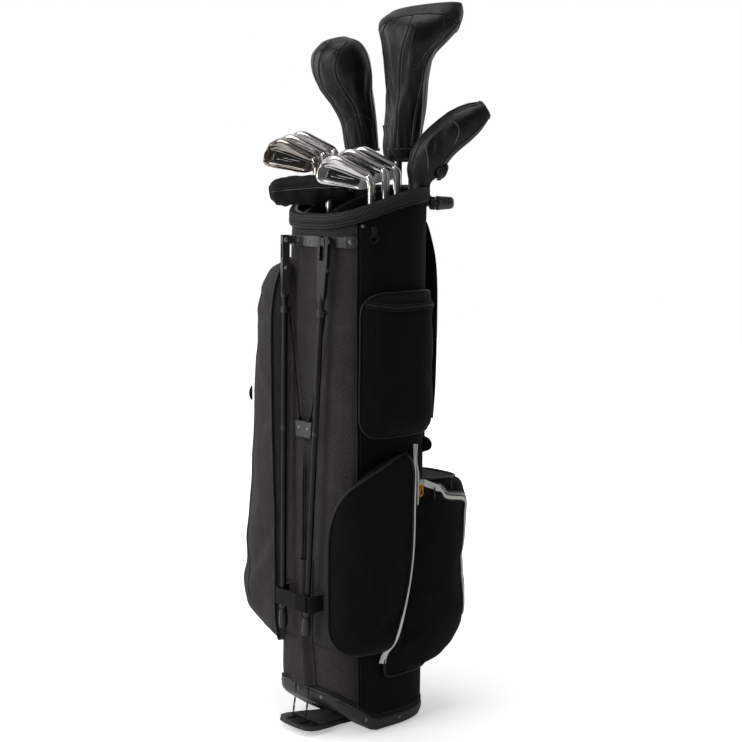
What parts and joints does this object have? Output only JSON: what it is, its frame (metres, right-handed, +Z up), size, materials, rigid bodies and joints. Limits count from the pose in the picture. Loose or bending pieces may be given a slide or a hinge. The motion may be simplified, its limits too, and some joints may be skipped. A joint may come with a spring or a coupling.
{
  "type": "golf club set in a stand bag",
  "caption": "Golf stand bag with folding legs, foot pedal, pockets and padded collar, holding irons, woods and a putter, some under soft headcovers.",
  "frame": {"origin": "on the ground under the middle of the bag's body at its base", "axes": "+Z up; -Y to the front, where the legs and pedal are; +X to the right side, which has the tall ball and side pockets"},
  "size_m": [0.3768, 0.329, 1.214],
  "materials": {
    "heather_fabric": "woven heather",
    "black_fabric": "woven",
    "lining_fabric": "plain weave",
    "mesh_padding": "spacer mesh",
    "webbing": "woven",
    "cover_leather": "smooth synthetic",
    "cover_knit": "soft nylon",
    "black_plastic": "fine texture",
    "grey_plastic": "satin",
    "leg_metal": "satin anodised",
    "wire_steel": "blackened",
    "iron_chrome": "polished and satin",
    "shaft_chrome": "polished",
    "wood_shaft": "gloss carbon fibre composite",
    "wood_head": "gloss",
    "rubber_grip": "matt",
    "zip_metal": "satin"
  },
  "bodies": {
    "bag": {"bag_base": "black_plastic", "bag_shell": "heather_fabric", "collar_pad": "mesh_padding", "top_frame": "black_plastic", "divider_panel": "lining_fabric", "leg_bracket": "black_plastic", "trunk_handle": "grey_plastic", "shoulder_strap": "webbing", "leg_strap": "webbing", "apparel_pocket": "heather_fabric", "lower_side_pocket": "black_fabric", "ball_pocket": "black_fabric", "upper_side_pocket": "black_fabric"},
    "leg_left": {"leg_yoke_left": "black_plastic", "leg_tube_left": "leg_metal", "leg_foot_left": "rubber_grip"},
    "leg_right": {"leg_yoke_right": "black_plastic", "leg_tube_right": "leg_metal", "leg_foot_right": "rubber_grip"},
    "pedal": {"foot_pedal": "black_plastic"},
    "rod": {"push_rod": "wire_steel", "slider_plate": "black_plastic"},
    "link_left": {"link_wire_left": "wire_steel"},
    "link_right": {"link_wire_right": "wire_steel"},
    "pull_upper": {"zip_pull_upper": "zip_metal"},
    "pull_lower": {"zip_pull_lower": "zip_metal"},
    "iron_1": {"iron_1_head": "iron_chrome", "iron_1_shaft": "shaft_chrome", "iron_1_grip": "rubber_grip"},
    "iron_2": {"iron_2_head": "iron_chrome", "iron_2_shaft": "shaft_chrome", "iron_2_grip": "rubber_grip"},
    "iron_3": {"iron_3_head": "iron_chrome", "iron_3_shaft": "shaft_chrome", "iron_3_grip": "rubber_grip"},
    "iron_4": {"iron_4_head": "iron_chrome", "iron_4_shaft": "shaft_chrome", "iron_4_grip": "rubber_grip"},
    "iron_5": {"iron_5_head": "iron_chrome", "iron_5_shaft": "shaft_chrome", "iron_5_grip": "rubber_grip"},
    "iron_6": {"iron_6_head": "iron_chrome", "iron_6_shaft": "shaft_chrome", "iron_6_grip": "rubber_grip"},
    "driver": {"driver_head": "wood_head", "driver_shaft": "wood_shaft", "driver_grip": "rubber_grip"},
    "fairway": {"fairway_head": "wood_head", "fairway_shaft": "wood_shaft", "fairway_grip": "rubber_grip"},
    "hybrid": {"hybrid_head": "wood_head", "hybrid_shaft": "wood_shaft", "hybrid_grip": "rubber_grip"},
    "putter": {"putter_head": "iron_chrome", "putter_shaft": "shaft_chrome", "putter_grip": "rubber_grip"},
    "driver_cover": {"driver_headcover": "cover_leather"},
    "fairway_cover": {"fairway_headcover": "cover_leather"},
    "hybrid_cover": {"hybrid_headcover": "cover_leather"},
    "putter_cover": {"putter_headcover": "cover_knit"}
  },
  "joints": [
    {"name": "leg_left_swing", "type": "hinge", "parent": "bag", "child": "leg_left", "pos_m": [-0.0515, -0.1165, 0.821], "axis": [-0.9063, 0.4226, 0], "range_deg": [0, 32], "deforming": ["leg_strap"]},
    {"name": "leg_right_swing", "type": "hinge", "parent": "bag", "child": "leg_right", "pos_m": [0.0515, -0.1165, 0.821], "axis": [-0.9063, -0.4226, 0], "range_deg": [0, 32.01]},
    {"name": "pedal_swing", "type": "hinge", "parent": "bag", "child": "pedal", "pos_m": [0, -0.046, 0.0052], "axis": [-1, 0, 0], "range_deg": [0, 18.14]},
    {"name": "rod_lift", "type": "slide", "parent": "bag", "child": "rod", "axis": [0, 0, 1], "range_m": [0, 0.02918]},
    {"name": "link_left_turn", "type": "hinge", "parent": "rod", "child": "link_left", "pos_m": [-0.014, -0.11661, 0.5255], "axis": [-0.9063, 0.4226, 0], "range_deg": [-20.23, 0]},
    {"name": "link_right_turn", "type": "hinge", "parent": "rod", "child": "link_right", "pos_m": [0.014, -0.11661, 0.5255], "axis": [-0.9063, -0.4226, 0], "range_deg": [-20.23, 0]},
    {"name": "pull_upper_turn", "type": "hinge", "parent": "bag", "child": "pull_upper", "pos_m": [0.11198, 0.1099, 0.418], "axis": [0.7193, -0.6947, 0], "range_deg": [0, 120]},
    {"name": "pull_lower_turn", "type": "hinge", "parent": "bag", "child": "pull_lower", "pos_m": [0.11514, 0.06834, 0.406], "axis": [0.5446, -0.8387, 0], "range_deg": [0, 120]},
    {"name": "iron_1_lift", "type": "slide", "parent": "bag", "child": "iron_1", "axis": [0.007, 0.0093, 0.9999], "range_m": [0, 0.9]},
    {"name": "iron_2_lift", "type": "slide", "parent": "bag", "child": "iron_2", "axis": [0.0023, 0.0186, 0.9998], "range_m": [0, 0.9]},
    {"name": "iron_3_lift", "type": "slide", "parent": "bag", "child": "iron_3", "axis": [-0.0023, 0.0233, 0.9997], "range_m": [0, 0.9]},
    {"name": "iron_4_lift", "type": "slide", "parent": "bag", "child": "iron_4", "axis": [-0.0071, 0.0047, 1], "range_m": [0, 0.9]},
    {"name": "iron_5_lift", "type": "slide", "parent": "bag", "child": "iron_5", "axis": [-0.0141, 0.0012, 0.9999], "range_m": [0, 0.9]},
    {"name": "iron_6_lift", "type": "slide", "parent": "bag", "child": "iron_6", "axis": [-0.0115, -0.0013, 0.9999], "range_m": [0, 0.9]},
    {"name": "driver_lift", "type": "slide", "parent": "bag", "child": "driver", "axis": [0.0087, 0.0172, 0.9998], "range_m": [0, 0.9]},
    {"name": "fairway_lift", "type": "slide", "parent": "bag", "child": "fairway", "axis": [-0.0249, 0.0171, 0.9995], "range_m": [0, 0.9]},
    {"name": "hybrid_lift", "type": "slide", "parent": "bag", "child": "hybrid", "axis": [0.0223, 0.0057, 0.9997], "range_m": [0, 0.9]},
    {"name": "putter_lift", "type": "slide", "parent": "bag", "child": "putter", "axis": [-0.0076, 0.0059, 1], "range_m": [0, 0.9]},
    {"name": "driver_cover_off", "type": "slide", "parent": "driver", "child": "driver_cover", "axis": [0.0087, 0.0172, 0.9998], "range_m": [0, 0.3], "deforming": ["driver_headcover"]},
    {"name": "fairway_cover_off", "type": "slide", "parent": "fairway", "child": "fairway_cover", "axis": [-0.0249, 0.0171, 0.9995], "range_m": [0, 0.26], "deforming": ["fairway_headcover"]},
    {"name": "hybrid_cover_off", "type": "slide", "parent": "hybrid", "child": "hybrid_cover", "axis": [0.0223, 0.0057, 0.9997], "range_m": [0, 0.2], "deforming": ["hybrid_headcover"]},
    {"name": "putter_cover_off", "type": "slide", "parent": "putter", "child": "putter_cover", "axis": [-0.0076, 0.0059, 1], "range_m": [0, 0.08], "deforming": ["putter_headcover"]}
  ],
  "couplings": [
    {"joint": "leg_right_swing", "follows": "leg_left_swing", "ratio": 1},
    {"joint": "pedal_swing", "follows": "leg_left_swing", "ratio": 0.56545},
    {"joint": "rod_lift", "follows": "leg_left_swing", "m_per_rad": 0.052068},
    {"joint": "link_left_turn", "follows": "leg_left_swing", "ratio": -0.63079},
    {"joint": "link_right_turn", "follows": "leg_left_swing", "ratio": -0.63079}
  ]
}
